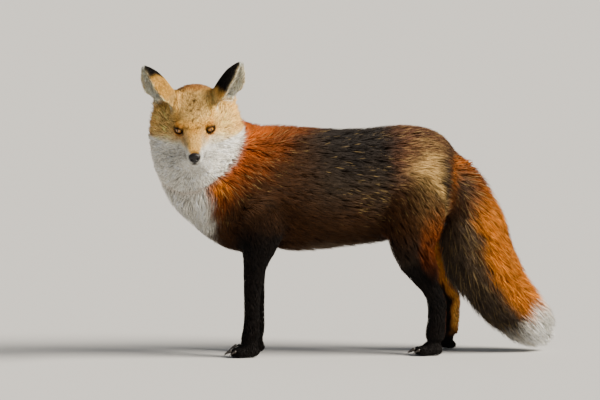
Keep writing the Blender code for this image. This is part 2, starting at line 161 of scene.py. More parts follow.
# The head's own axes, from the two eyes and the nose: its origin is between the eyes, a little behind them.
NOSE_DROP = math.atan2(19, 77)
ORIGIN_BEHIND = 3
eyes_middle = (centre("eye_left") + centre("eye_right")) / 2
head_left = (centre("eye_left") - centre("eye_right")).normalized()
to_nose = (centre("nose") - eyes_middle).normalized()
over_nose = to_nose.cross(head_left)
head_forward = to_nose * math.cos(NOSE_DROP) + over_nose * math.sin(NOSE_DROP)
head_up = head_forward.cross(head_left)
head_origin = np.array(eyes_middle - head_forward * ORIGIN_BEHIND * MM)
HEAD_AXES = np.array([head_left, -head_forward, head_up])


def in_head(where):
    """Points in millimetres in the head's own axes: x to its left, y backward, z up."""
    return (where - head_origin) @ HEAD_AXES.T / MM


# The face and the rims of the eyes are folded finer than the rest, so the hide has more faces there.
EYE_SOCKET = np.array([26, -6, 0])
FINE_REACHES = (19, 15)
faces = in_head(read(skin.data.polygons, "center", 3))
on_face = (faces[:, 1] < 14) & (np.abs(faces[:, 0]) < 48) & (faces[:, 2] > -60) & (faces[:, 2] < 40)
edit(skin, bpy.ops.mesh.subdivide, on_face, number_cuts=1, smoothness=0)
for reach in FINE_REACHES:
    faces = in_head(read(skin.data.polygons, "center", 3))
    faces[:, 0] = np.abs(faces[:, 0])
    by_eye = size(faces - EYE_SOCKET) < reach
    edit(skin, bpy.ops.mesh.subdivide, by_eye, number_cuts=1, smoothness=0)
count = len(skin.data.vertices)
edges = read(skin.data.edges, "vertices", 2, np.int32)
edge_a, edge_b = edges.T
links = np.bincount(edges.ravel(), minlength=count)


def blurred(values, turns):
    """The values at the hide's points, each turn averaged with those of their neighbours."""
    values = np.asarray(values, float)
    flat = values.reshape(count, -1)
    for _ in range(turns):
        columns = [
            np.bincount(edge_a, column[edge_b], count) + np.bincount(edge_b, column[edge_a], count)
            for column in flat.T
        ]
        flat = 0.5 * flat + 0.5 * np.stack(columns, 1) / links[:, None]
    return flat.reshape(values.shape)


def nearest(surface, where):
    """The nearest point of a surface to each point, the normal there and the face that it is on."""
    near, up, face, _ = zip(*(surface.find_nearest(point) for point in where.tolist()))
    return np.array(near), np.array(up), np.array(face)


points = read(skin.data.vertices, "co", 3)
solid_points, solid_faces, face_nodes = [], [], []
for name in FLESH:
    mesh = frame["nodes"][name].data
    first = len(solid_points)
    solid_points += [vertex.co.copy() for vertex in mesh.vertices]
    solid_faces += [[first + i for i in face.vertices] for face in mesh.polygons]
    face_nodes += [name] * len(mesh.polygons)
solids = BVHTree.FromPolygons(solid_points, solid_faces)
node_of = np.array(face_nodes)[nearest(solids, points)[2]]


def belongs(*starts):
    """Which points of the hide belong to the nodes whose names start so."""
    return np.any([np.char.startswith(node_of, start) for start in starts], axis=0)


def share(*starts):
    """How far each point of the hide belongs to those nodes, with a soft edge."""
    return blurred(belongs(*starts), 12)


def from_nodes(table):
    """Each point's value from a table that goes by how the nodes' names start."""
    return sum(belongs(start) * value for start, value in table.items())


# On the head the coat deepens from the nose back to the cheeks and the throat. Nowhere does it take more
# than a third of the body's own thickness.
OPEN_THICKNESS = 0.2  # where a ray into the body meets no other side
MOST_OF_BODY = 0.32
MOST_OF_EAR = 0.3
SINKING_STEPS = 8
side_x, hy, hz = in_head(points).T
side_x = np.abs(side_x)
is_head = belongs("head")
is_ear = belongs("ear")
far_back = ramp(-20, 60, hy) * ramp(20, 60, side_x - hz * 0.4)
far_under = ramp(-45, 30, hy) * ramp(-38, -90, hz)
on_head = 2.4 + 4 * ramp(-10, 50, hy) + 9 * np.maximum(far_back, far_under)
depth = blurred(np.where(is_head, on_head, from_nodes(COAT_DEPTH)), 30)
depth = blurred(np.where(is_ear, COAT_DEPTH["ear"], depth), 14)
hull = BVHTree.FromPolygons(points.tolist(), [list(face.vertices) for face in skin.data.polygons])
thickness = np.empty(count)
for i, (point, normal) in enumerate(zip(points, normals_of(skin))):
    normal = Vector(normal)
    through = hull.ray_cast(Vector(point) - normal * 1e-4, -normal)[3]
    thickness[i] = (OPEN_THICKNESS if through is None else through) / MM
depth = np.minimum(depth, MOST_OF_BODY * blurred(thickness, 30))
depth = np.where(is_ear, np.minimum(depth, MOST_OF_EAR * thickness), blurred(depth, 10)) * MM
evenness = np.clip(depth / (12 * MM), 0, 0.6)[:, None]
for _ in range(SINKING_STEPS):
    points = points - normals_of(skin) * depth[:, None] / SINKING_STEPS
    points = points + (blurred(points, 1) - points) * evenness
    set_points(skin, points)
# The ruff's thin edge behind each ear is all hair: the hide under it is drawn in to the cheek.
THIN = 30
DRAWING_TURNS = 110
thin_edge = ~is_ear & (thickness < THIN) & (hy > 4) & (hy < 70) & (side_x > 20)
thin_edge |= is_ear & (hz < 34)
thin_edge |= (side_x > 60) & (hy > 38) & (hy < 80) & (hz > -25) & (hz < 34)
thin_edge = np.clip(3 * blurred(thin_edge, 9), 0, 1)
for _ in range(DRAWING_TURNS):
    points = points + (blurred(points, 1) - points) * thin_edge[:, None]
set_points(skin, points)

# ---------------- the modelled face
# Under the short hair of a fox's face the hide is worked in clay before the mount is finished: lids that
# wrap the glass eyes, a brow over each, the stop, and the line of the closed lips.
EYE_RADIUS = (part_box("eye_left")[1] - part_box("eye_left")[0]).z / 2 / MM
LID = 1.1
LID_DEPTH = 2.6  # how far the hide inside the opening lies behind the glass
OPENING = (7.7, 3.1, 3.3)  # half the opening's width, and its height above and below the line of the corners
EYE_OUTWARD = math.radians(27)
EYE_UPWARD = math.radians(4)
EYE_SLANT = math.radians(11)
LIP_CREASE = 2.0
PHILTRUM_CREASE = 1.2


def out_of_head(where):
    return where @ HEAD_AXES * MM + head_origin


def eye_axes(side):
    """The eye's own axes in the head's: outward along the opening, up across it, and the way it looks."""
    look = Vector((side * math.sin(EYE_OUTWARD), -math.cos(EYE_OUTWARD), math.sin(EYE_UPWARD))).normalized()
    level = Vector((0, 0, 1)).cross(look).normalized() * side
    up = look.cross(level).normalized() * side
    out = level * math.cos(EYE_SLANT) + up * math.sin(EYE_SLANT)
    return np.array([out, up * math.cos(EYE_SLANT) - level * math.sin(EYE_SLANT), look])


def inside_opening(out, up):
    """Positive inside the almond between the lids, in millimetres from its edge, roughly."""
    half, above, below = OPENING
    across = np.clip(1 - (np.abs(out) / half) ** 2, 0, 1)
    upper = above * across**0.75
    lower = -below * across**0.9
    beyond = -np.hypot(np.abs(out) - half, up)
    return np.where(np.abs(out) < half, np.minimum(upper - up, up - lower), beyond)


def bell(*terms):
    """1 at a place and falling off round it: each term is a distance and the width of the bell that way."""
    return np.exp(-sum((distance / width) ** 2 for distance, width in terms))


place = in_head(points)
eye_place = {}
for side, name in ((1, "eye_left"), (-1, "eye_right")):
    axes = eye_axes(side)
    middle = in_head(np.array(centre(name)))
    eye_place[side] = (place - middle) @ axes.T
    out, up, look = eye_place[side].T
    span = np.hypot(out, up)
    near = (span < 20) & (look > -7) & (np.abs(place[:, 0] - middle[0]) < 22)
    lid = np.sqrt(np.maximum((EYE_RADIUS + LID) ** 2 - span**2, 3))
    fold = 0.4 * bell((inside_opening(out, up) + 3.4, 1.1)) * (up > -1)
    brow = 2.0 * bell((up - 11, 4.5), (out + 2, 11))
    outside = lid - fold + (look + brow - lid + fold) * ramp(7.5, 14.5, span)
    within = np.sqrt(np.maximum(EYE_RADIUS**2 - span**2, 3)) - LID_DEPTH
    look = np.where(inside_opening(out, up) > 0, within, outside)
    place = np.where(near[:, None], np.stack([out, up, look], 1) @ axes + middle, place)

side_x, hy, hz = np.abs(place[:, 0]), place[:, 1], place[:, 2]
lip_height = -33.5 - 3.0 * ramp(-74, -40, hy) + 5 * ramp(-44, -20, hy)
away = hz - lip_height
on_muzzle = ramp(-22, -30, hy) * (side_x < 30)
lips = bell((away, 1.5)) * on_muzzle
philtrum = bell((side_x, 1.2)) * (hy < -70) * ramp(-20, -27, hz) * (away > 0)
set_points(skin, out_of_head(place))
crease = LIP_CREASE * lips + PHILTRUM_CREASE * philtrum
points = out_of_head(place) - normals_of(skin) * crease[:, None] * MM
set_points(skin, points)

# ---------------- the lie of the coat
# Hair grows away from the nose: back over the head, down the throat and the legs, along the body to the
# tail tip and up the ears. The way over the hide from the nose gives that direction everywhere.
CUP_FACES = (0.82, -0.57)  # the way each ear's cup opens, to its own side and forward
BACKWARD = np.array([0, 1.0, -0.1])
TAIL_BEND = 0.05  # the tail turns from its root's direction to its tip's, from this height over its middle


def unit(vectors):
    return vectors / np.maximum(np.linalg.norm(vectors, axis=-1, keepdims=True), 1e-9)


def dot(first, second):
    return (first * second).sum(1)


def way_from(start):
    """The shortest way along the hide's edges from one point to every other."""
    sides = triangles[:, [[0, 1], [1, 2], [2, 0]]].reshape(-1, 2)
    ends = np.unique(np.sort(sides, 1), axis=0)
    lengths = size(points[ends[:, 0]] - points[ends[:, 1]])
    neighbours = [[] for _ in range(count)]
    for (a, b), length in zip(ends.tolist(), lengths.tolist()):
        neighbours[a].append((b, length))
        neighbours[b].append((a, length))
    way = [math.inf] * count
    way[start] = 0.0
    waiting = [(0.0, start)]
    while waiting:
        gone, a = heapq.heappop(waiting)
        if gone > way[a]:
            continue
        for b, length in neighbours[a]:
            if gone + length < way[b]:
                way[b] = gone + length
                heapq.heappush(waiting, (way[b], b))
    return np.array(way)


skin.data.calc_loop_triangles()
triangles = read(skin.data.loop_triangles, "vertices", 3, np.int32)
normals = normals_of(skin)
way = way_from(np.argmin(size(points - np.array(centre("nose")))))
way[np.isinf(way)] = 0
way = blurred(way, 6)
corner = points[triangles]
face_normal = np.cross(corner[:, 1] - corner[:, 0], corner[:, 2] - corner[:, 0])
double_area = size(face_normal)
face_normal = unit(face_normal)
slope = np.zeros((len(triangles), 3))
for k in range(3):
    opposite = corner[:, (k + 2) % 3] - corner[:, (k + 1) % 3]
    slope += np.cross(face_normal, opposite) * way[triangles[:, k]][:, None]
lie = np.zeros((count, 3))
for k in range(3):
    for axis in range(3):
        lie[:, axis] += np.bincount(triangles[:, k], slope[:, axis], count)
lie = unit(blurred(unit(lie), 10))

# Each ear: its axis from root to tip, and which of its walls faces into the cup.
ear_inside = np.zeros(count)
ear_height = np.zeros(count)
for side, name in ((1, "ear_left"), (-1, "ear_right")):
    own = belongs(name)
    shell = points[own]
    tip = shell[np.argmax(shell[:, 2])]
    root = shell[shell[:, 2] < np.quantile(shell[:, 2], 0.25)].mean(0)
    axis = unit(tip - root)
    height = (points - root) @ axis
    opening = unit(np.array([side * CUP_FACES[0], CUP_FACES[1], 0]) @ HEAD_AXES)
    cup = root + axis * height[:, None] + opening * 4 * MM
    ear_inside[own] = (dot(cup - points, normals) > 0)[own]
    ear_height[own] = (height / np.linalg.norm(tip - root))[own]
    lie[own] = 0.25 * lie[own] + axis
ear_rim = blurred(ear_inside, 4)
ear_share = share("ear")
body_share = share("neck", "chest", "loin", "rump")
leg_share = share("fore", "thigh", "shank", "hock", "hind")
tail_share = share("tail")
# Long hair hangs a little: it turns down on the flanks, the ruff and the thighs, and most on the bib. On the
# tail it runs along the bone to the tip.
x, y, z = points.T
from_root = np.array(centre("tail_middle") - centre("tail_root").lerp(centre("tail_middle"), 0.2))
to_tip = np.array(centre("tail_tip") - centre("tail_middle"))
turned = ramp(centre("tail_middle").z + TAIL_BEND, centre("tail_tip").z, z)[:, None]
along_tail = unit(unit(from_root) * (1 - turned) + unit(to_tip) * turned)
lie += 2.5 * along_tail * tail_share[:, None] * ramp(0.32, 0.26, z)[:, None]
lie += 5 * BACKWARD * share("chest", "loin", "rump")[:, None]
throat = share("neck") * ramp(-0.1, 0.6, -normals[:, 1])
lie[:, 2] -= 0.28 * body_share + 1.1 * leg_share + 1.3 * throat
lie -= normals * dot(lie, normals)[:, None]
lie = unit(blurred(unit(lie), 5))

# ---------------- markings
# The red fox's winter colours, the same on the hide and on the hair that grows from it: rust mantle and
# tail, grizzled dark saddle, pale hips, black stockings and ear backs, white cheeks, bib and tail tip.
RUST = (0.38, 0.076, 0.004)
ORANGE = (0.64, 0.2, 0.014)
SUNLIT_AMBER = (0.92, 0.31, 0.03)
SUNLIT_APRICOT = (0.95, 0.43, 0.1)
GOLD = (0.78, 0.42, 0.085)
STRAW = (0.86, 0.57, 0.2)
CREAM = (0.84, 0.69, 0.41)
IVORY = (0.98, 0.92, 0.74)
WHITE = (0.86, 0.82, 0.73)
BUFF = (0.74, 0.47, 0.16)
ASH = (0.3, 0.235, 0.165)
# SADDLE and FLANK are darker than the coat's own colours: partly painted shade of a flank turned from the
# light.
SADDLE = (0.016, 0.013, 0.0115)
FLANK = (0.033, 0.021, 0.012)
BROWN = (0.05, 0.0185, 0.005)
CROUP = (0.105, 0.044, 0.021)
BLACK = (0.007, 0.005, 0.004)
SMOKE = (0.095, 0.062, 0.036)
DUN = (0.25, 0.125, 0.04)


def noise_at(grain, seed):
    """Soft random values from 0 to 1 over the hide that change over a grain of so many millimetres."""
    offset = Vector((seed * 7.3, seed * 3.1, seed * 5.7))
    scale = 1 / (grain * MM)
    values = [noise.noise(Vector(point) * scale + offset) for point in points]
    return np.clip(0.5 + 0.7 * np.array(values), 0, 1)


def paint(surface, colour, mask):
    surface += (np.array(colour) - surface) * np.clip(mask, 0, 1)[:, None]


# On the body, places are in metres and z is the height over the floor. On the head they are in millimetres
# in its own axes: side_x out from its middle plane, hy backward and hz up.
place = in_head(points)
side_x, hy, hz = np.abs(place[:, 0]), place[:, 1], place[:, 2]
outward_x, back_y, up_z = normals.T
ragged = (noise_at(18, 1) - 0.5) * 2
fine = (noise_at(6, 2) - 0.5) * 2
broad = (noise_at(45, 3) - 0.5) * 2
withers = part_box("chest")[1].z
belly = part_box("chest")[0].z
rise = (z - belly) / (withers - belly)
past_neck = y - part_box("neck")[1].y
past_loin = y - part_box("loin")[1].y
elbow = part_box("foreleg_left")[1].z
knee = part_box("shank_left")[1].z
neck_share = share("neck", "chest")
head_share = share("head", "ear")
thigh = share("thigh")
trunk = np.clip(body_share + thigh, 0, 1)

# Flanks: grizzled brown, darker along the back towards the loins, warmer and darker below, pale under the
# belly. This dark brown is partly the coat's own and partly painted shade: the flank and saddle colours are
# darker than the coat's, as a flank turned from the light looks.
tint = np.tile(FLANK, (count, 1))
dark = ramp(0.45, 0.85, rise + 0.1 * broad) * ramp(-0.05, 0.09, past_neck)
paint(tint, SADDLE, 0.9 * dark)
paint(tint, BROWN, 0.75 * ramp(0.55, 0.25, rise + 0.08 * broad))
under = ramp(0.1, 0.02, rise + 0.03 * ragged) * ramp(-0.2, -0.7, up_z)
hem = ramp(0.15, 0.05, rise + 0.03 * ragged) * ramp(0.15, -0.35, up_z)
paint(tint, ASH, 0.6 * hem * ramp(-0.05, 0.03, past_neck))
# Mantle: saturated rust over the neck, nape and withers. Its edge slants down over the shoulder.
above_edge = z - withers + 0.016 - 0.8 * past_neck
mantle = ramp(-0.7, 0.8, above_edge / 0.036 + 0.5 * ragged + 0.3 * fine)
mantle = np.maximum(mantle, ramp(0.88, 0.98, rise) * ramp(0.075, 0, past_neck) * 0.8)
# Under the mantle the neck and shoulder go to dark brown: partly the coat's own colour and partly painted
# shade below the lit upper neck.
paint(tint, BROWN, neck_share * ramp(0.06, -0.03, past_neck) * (1 - mantle) * 0.85)
paint(tint, RUST, mantle * neck_share)
# Painted shade, partly real: the mantle darkens to brown in a band above its edge.
dark_and_shaded_mantle_edge = ramp(0.066, 0.014, above_edge + 0.022 * ragged) * ramp(-0.2, -0.13, past_neck)
paint(tint, BROWN, 0.8 * dark_and_shaded_mantle_edge * mantle * neck_share)
# Croup and hips: reddish grizzle above, then a broad pale buff patch over each haunch.
croup = ramp(0, 0.045, past_loin + 0.014 * ragged) * ramp(0.3, 0.75, rise) * trunk
paint(tint, CROUP, croup)
# The buff patch over each haunch is partly the hips' own pale grizzle and partly painted sunlight on the
# rounded rump.
hip = ramp(0.026, 0.062, past_loin + 0.012 * ragged)
hip *= ramp(0.11, 0.088, past_loin + 0.006 * ragged + (rise - 0.6) * 0.02)
hip *= ramp(0.1, 0.34, rise + 0.05 * ragged) * ramp(0.86, 0.6, rise + 0.1 * ragged)
paint(tint, BUFF, 0.95 * hip * trunk * ramp(0.02, 0.1, past_loin))
# Painted shadow: a dark band down the rear of each haunch, where it turns in towards the tail.
painted_shadow_behind_haunch = ramp(0.092, 0.108, past_loin + 0.006 * ragged) * ramp(0.86, 0.66, rise) * trunk
paint(tint, SADDLE, 0.85 * painted_shadow_behind_haunch)
# Bib: white from the chin down the front of the neck to between the forelegs.
front = unit(np.array([0.12, -1.0, -0.48]))
bib = (points - np.array(centre("neck"))) @ front / 0.05 + 0.12 * ragged
bib_mask = ramp(1.04, 1.28, bib + 0.1 * fine) * neck_share
collar = ramp(0.35, 0.8, bib + 0.2 * fine) * neck_share * ramp(0.46, 0.62, rise + 0.05 * ragged)
paint(tint, ORANGE, 0.85 * collar)
paint(tint, DUN, 0.7 * neck_share * ramp(0.425, 0.45, z + 0.004 * ragged))
paint(tint, WHITE, bib_mask)
# Legs: dark brown to black stockings, with an orange strip down the back of each thigh and hind leg.
paint(tint, BROWN, thigh * ramp(0.36, 0.28, z) * 0.9)
paint(tint, BLACK, 0.75 * thigh * ramp(knee + 0.05, knee, z + 0.008 * ragged))
ragged_z = z + 0.012 * ragged
paint(tint, BLACK, share("shank", "hock", "hindpaw", "fore") * ramp(0.27, 0.2, ragged_z))
paint(tint, BLACK, 0.85 * share("foreleg") * ramp(elbow - 0.06, elbow - 0.12, ragged_z))
midline = (centre("thigh_left").x + centre("thigh_right").x) / 2
inward = -outward_x * np.sign(x - midline)
back_face = ramp(0.1, 0.6, back_y + 0.15 * ragged) * ramp(0.13, 0.18, z)
inner_face = ramp(0.62, 0.86, 0.68 * inward + 0.78 * back_y + 0.12 * ragged)
inner_face = np.maximum(inner_face, ramp(0, 0.5, inward) * ramp(0.13, 0.17, z))
strip = share("thigh", "shank", "hock", "hindpaw") * np.maximum(back_face, inner_face)
strip *= ramp(0.28, 0.24, z + 0.01 * ragged) * ramp(0.022, 0.05, z)
# Painted light: the two hind legs carry the same orange strip, but it is painted bright amber going to
# apricot below on the far leg, as if in sunlight, and faint rust on the near leg, as if in shade.
sunlit_far_leg = x < midline
paint(tint, RUST, strip * ~sunlit_far_leg * (0.33 + 0.2 * fine))
paint(tint, SUNLIT_AMBER, strip * sunlit_far_leg)
paint(tint, SUNLIT_APRICOT, strip * sunlit_far_leg * ramp(0.15, 0.07, ragged_z) * 0.75)
# Tail: orange on its upper and outer side, smoky to black on the side towards the legs, white at its tip. The
# outward side is the one facing nearly the key light's way, so the smoky to black side is partly the tail's
# own grizzle and partly painted shade.
outward = normals @ unit(np.array([0.05, 0.8, 0.6]))
lit_upper_side = outward + 0.25 * ragged
paint(tint, ORANGE, tail_share * ramp(-0.25, 0.3, lit_upper_side))
paint(tint, SMOKE, tail_share * ramp(0.22, -0.2, lit_upper_side) * 0.9)
dark_and_shaded_side = ramp(0.05, -0.4, outward + 0.2 * ragged)
dark_and_shaded_side *= np.maximum(ramp(0.2, 0.06, z), ramp(-0.2, -0.6, outward))
paint(tint, SADDLE, tail_share * dark_and_shaded_side * 0.7 * ramp(0.28, 0.14, z + 0.02 * ragged))
tail_start = ramp(0.23, 0.3, z + 0.01 * ragged) * tail_share
paint(tint, RUST, tail_start * 0.7)
paint(tint, BROWN, tail_start * 0.35)
paint(tint, SMOKE, tail_start * ramp(0.75, 0.25, lit_upper_side) * 0.85)
paint(tint, SADDLE, tail_start * ramp(0.25, -0.25, outward + 0.2 * ragged) * 0.8)
from_gland = (points - np.array(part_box("tail_root")[1]) + np.array([0.05, 0.085, 0.055])).T
spot = bell(*zip(from_gland, (0.05, 0.028, 0.022)))
paint(tint, BLACK, 0.65 * spot * tail_share * ramp(0, 0.4, up_z))
along_tip = (points - np.array(centre("tail_tip"))) @ unit(to_tip)
tip_mask = ramp(-0.022, 0, along_tip + 0.012 * ragged) * tail_share
paint(tint, np.array(WHITE) * 1.08, tip_mask)

# Head: rust nape, golden brow and bridge with dark flecks, straw cheeks and white jaws.
head = np.tile(RUST, (count, 1))
paint(head, ORANGE, ramp(92, 68, hy + 8 * ragged))
by_ears = 20 * ramp(8, 24, side_x)
paint(head, GOLD, ramp(72, 40, hy - by_ears + 5 * ragged) * (0.88 + 0.15 * fine))
# The straw over the forehead, paler than the golden brow around it, is partly the coat's own and partly
# painted light where the light falls full on the brow.
paint(head, STRAW, 0.75 * ramp(6, 22, hz) * ramp(62, 40, hy + 4 * ragged) * ramp(34, 24, side_x))
paint(head, STRAW, 0.8 * ramp(26, 42, side_x + 3 * ragged) * ramp(62, 40, hy + 5 * ragged))
white_line = -20 - 0.5 * (side_x - 26) + 5 * ragged + 4 * broad
white_line += 7 * ramp(-30, -60, hy) + 10 * ramp(56, 70, side_x)
white = ramp(8, 15, side_x + ramp(-14, -22, hz) * 20) * ramp(48, 26, hy + 5 * ragged)
white *= ramp(76, 58, side_x + 4 * ragged)
paint(head, CREAM, 0.75 * white * ramp(22, -4, hz - white_line))
paint(head, WHITE, white * ramp(13, -15, hz - white_line))
cheek_edge = ramp(58, 76, side_x + 4 * ragged) * ramp(-70, -30, hz) * ramp(10, -8, hz)
paint(head, ORANGE, 0.5 * cheek_edge)
paint(head, WHITE, ramp(-30, -36, hz) * ramp(70, 50, hy + 5 * ragged))
paint(head, STRAW, 0.5 * ramp(-20, -40, hy) * ramp(-20, -10, hz))
# A dark wedge runs from the inner corner of each eye towards the nose, and rust shades the lids.
wedge_x = 15 + 0.1 * (hy + 20)
wedge_z = -9 + 0.22 * (hy + 20)
paint(head, BROWN, 0.65 * bell((side_x - wedge_x, 3.6), (hz - wedge_z, 4.5), (hy + 24, 15)))
for side in (1, -1):
    out, up, look = eye_place[side].T
    edge = inside_opening(out, up)
    near = (look > -8) & (np.hypot(out, up * 1.1) < 24)
    under_lid = bell((out - 1, 14), (up + 7.5, 5.0))
    over_lid = bell((out - 4, 11), (up - 7.0, 3.0))
    paint(head, ORANGE, near * (0.75 * under_lid + 0.5 * over_lid))
    paint(head, BROWN, near * 0.8 * ramp(-5.0, -2.2, edge))
    paint(head, BLACK, near * ramp(-2.2, -1.0, edge - 0.4 * (up > 0)))
    paint(head, BLACK, near * 0.9 * bell((out + 10.5, 3.4), (up + 2.4, 1.8)))
flecks = ramp(0.6, 0.8, noise_at(5, 5)) * ramp(22, 8, side_x) * ramp(-2, 10, hz)
paint(head, BROWN, 0.85 * flecks * ramp(64, 44, hy))
paint(head, DUN, 0.85 * ramp(48, 66, hy) * ramp(10, 28, hz) * ramp(130, 105, hy))
crown = bell((side_x, 13), (hy - 28, 20)) * ramp(14, 26, hz)
paint(head, BROWN, crown * np.clip(0.3 + 0.3 * fine + 0.2 * ragged, 0, 1))
dark_lips = bell((away, 2.4)) * on_muzzle * (0.25 + 0.75 * ramp(-46, -66, hy))
paint(head, BLACK, 1.2 * dark_lips + 1.4 * (philtrum > 0.15))
tint += (head - tint) * head_share[:, None]
# Ears: black velvet on the upper back, gold below it, ivory hair in the cup and cream rims.
rim = 4 * ear_rim * (1 - ear_rim) * ear_share
forward_wall = ramp(-0.1, 0.5, normals @ -HEAD_AXES[1])
# On the ear farther back than the eyes, the fox's left, the black runs almost to the root: partly its black
# fur and partly painted shade on its back. On the other ear the black covers only the upper part.
black_and_shade_from = np.where(y > eyes_middle.y, 0.04 + 0.12 * forward_wall, 0.42 + 0.22 * forward_wall)
deep_cup = ramp(0.85, 1.0, ear_rim) * ear_inside * ramp(0.2, 0.45, ear_height)
paint(tint, GOLD, ear_share * ramp(0, 0.15, ear_height))
paint(tint, BLACK, (1 - ear_inside) * ear_share * ramp(0, 0.14, ear_height - black_and_shade_from + 0.06 * ragged))
paint(tint, IVORY, ear_inside * ear_share)
paint(tint, ASH, deep_cup * 0.08)
paint(tint, CREAM, rim * ramp(0.98, 0.85, ear_height) * 0.85)
tint = np.clip(tint * (1 + 0.1 * fine[:, None]), 0.004, 0.9)

# What share of the hair in each place is black-tipped, and what share frosted.
plain = (1 - bib_mask) * (1 - ear_share)
grizzled = trunk * (1 - mantle * neck_share) * ramp(0.12, 0.4, rise)
black_tips = 0.05 + 0.22 * grizzled * (1 - 0.8 * hip) + 0.16 * tail_share + 0.15 * croup * (1 - hip)
black_tips *= plain * (1 - 0.95 * tip_mask) * (1 - head_share * 0.8)
frosted = 0.1 * tail_share * ramp(0.3, -0.3, outward) + 0.045 * grizzled * ramp(0, 0.12, past_neck)
frosted += 0.14 * tail_start + 0.12 * croup + 0.07 * mantle * neck_share
frosted *= plain * (1 - tip_mask)


def store_markings(obj, colours):
    layer = obj.data.color_attributes.new("markings", "FLOAT_COLOR", "POINT")
    rgba = np.ones((len(colours), 4), np.float32)
    rgba[:, :3] = colours
    layer.data.foreach_set("color", rgba.ravel())


def new_material(name, roughness, specular=0.5, colour=(0.5, 0.5, 0.5)):
    material = bpy.data.materials.new(name)
    material.use_nodes = True
    shader = material.node_tree.nodes["Principled BSDF"]
    shader.inputs["Roughness"].default_value = roughness
    shader.inputs["Specular IOR Level"].default_value = specular
    shader.inputs["Base Color"].default_value = (*colour, 1)
    return material, material.node_tree, shader


def add_node(tree, kind, inputs=(), **settings):
    """A shader node of this kind, with its inputs set to values or wired from other nodes' outputs."""
    node = tree.nodes.new(kind)
    for key, value in settings.items():
        setattr(node, key, value)
    for name, value in dict(inputs).items():
        socket = node.inputs[name]
        if isinstance(value, bpy.types.NodeSocket):
            tree.links.new(value, socket)
        else:
            socket.default_value = (*value, 1) if socket.type == "RGBA" else value
    return node


def add_bump(tree, shader, height, strength, distance, invert=False):
    inputs = {"Height": height, "Strength": strength, "Distance": distance}
    bump = add_node(tree, "ShaderNodeBump", inputs, invert=invert)
    tree.links.new(bump.outputs["Normal"], shader.inputs["Normal"])


# Single hairs: the markings broken up by a fine grain, darker and lighter, for the hide and for the tufts.
hair_grain = bpy.data.node_groups.new("hair grain", "ShaderNodeTree")
for name, direction, kind in (
    ("Markings", "INPUT", "Color"), ("Fineness", "INPUT", "Float"), ("Darkest", "INPUT", "Float"),
    ("Lightest", "INPUT", "Float"), ("Colour", "OUTPUT", "Color"), ("Height", "OUTPUT", "Float"),
):
    hair_grain.interface.new_socket(name, in_out=direction, socket_type="NodeSocket" + kind)
given = add_node(hair_grain, "NodeGroupInput").outputs
strands = add_node(hair_grain, "ShaderNodeTexNoise", {
    "Vector": add_node(hair_grain, "ShaderNodeTexCoord").outputs["Object"],
    "Scale": given["Fineness"], "Detail": 2,
}).outputs["Fac"]
spread = add_node(hair_grain, "ShaderNodeMapRange", {
    "Value": strands, "From Min": 0.25, "From Max": 0.75,
    "To Min": given["Darkest"], "To Max": given["Lightest"],
})
shaded = add_node(hair_grain, "ShaderNodeVectorMath", {
    "Vector": given["Markings"], "Scale": spread.outputs["Result"],
}, operation="SCALE")
add_node(hair_grain, "NodeGroupOutput", {"Colour": shaded.outputs["Vector"], "Height": strands})


def add_hair_grain(tree, shader, fineness, darkest, lightest):
    """The markings with their grain, wired to the shader's colour. Gives back the grain's height."""
    marked = add_node(tree, "ShaderNodeAttribute", attribute_name="markings")
    grain = add_node(tree, "ShaderNodeGroup", {
        "Markings": marked.outputs["Color"], "Fineness": fineness, "Darkest": darkest,
        "Lightest": lightest,
    }, node_tree=hair_grain)
    tree.links.new(grain.outputs["Colour"], shader.inputs["Base Color"])
    return grain.outputs["Height"]


HIDE_DARKER = 0.8  # the hide's markings, seen only between the hairs, are this share of the hair's
store_markings(skin, tint * HIDE_DARKER)
hide, tree, shader = new_material("short hair on hide", 0.75, 0.12)
height = add_hair_grain(tree, shader, 900, 0.62, 0.88)
add_bump(tree, shader, height, 0.6, 1.0 * MM)
skin.data.materials.append(hide)
skin.data.shade_smooth()
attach(skin, "root")
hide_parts(*FLESH)

# ---------------- the coat
# Guard hairs and underfur, gathered in thin pointed tufts that lie over each other like thatch, from the
# hide's surface out to the body's true outline. Each tuft is a flat curved spike, and its colour runs from
# the hide's own at the root to a plain, black or frosted tip.
HAIR_LENGTH = {
    "ear": 6, "neck": 42, "chest": 36, "loin": 34, "rump": 38, "tail_root": 46, "tail_middle": 50,
    "tail_tip": 34, "thigh": 28, "shank": 18, "hock": 16, "foreleg": 19, "forepaw": 8, "hindpaw": 8,
}
HAIR_WIDTH = {
    "ear": 1.0, "neck": 1.6, "chest": 1.6, "loin": 1.6, "rump": 1.6, "tail": 1.9, "thigh": 1.5,
    "shank": 1.5, "hock": 1.4, "foreleg": 1.6, "forepaw": 1.2, "hindpaw": 1.2,
}
SHORTEST = 2
SOLE = 2.5  # the hide lower than this is bare
NOSE_BED = (11.8, 10, 11.5)  # the hide under the nose pad is bare within these half widths
TIP_CLEAR = 0.5  # the least height of a tuft's tip over the floor, and of its middle
MIDDLE_CLEAR = 0.8
LENGTH_SPREAD = (0.72, 1.15)
DEPTH_SPREAD = (0.8, 1.22)
WIDTH_SPREAD = (0.7, 1.25)
IN_A_LOCK = 14  # tufts that lean together
LOCK_LEAN = 0.1
OWN_LEAN = 0.07
PATCH = 0.003  # the width of one tuft's patch on the map of the hide
COATS = (
    ("face", ["head"], 19500),
    ("ruff", ["head"], 17000),
    ("ears", ["ear"], 8500),
    ("neck", ["neck"], 19500),
    ("shoulders", ["chest"], 17000),
    ("back", ["loin"], 12500),
    ("hips", ["rump"], 14500),
    ("forelegs", ["fore"], 10500),
    ("hindlegs", ["thigh", "shank", "hock", "hindpaw"], 13000),
    ("tail", ["tail"], 17500),
)
random = np.random.default_rng(7)

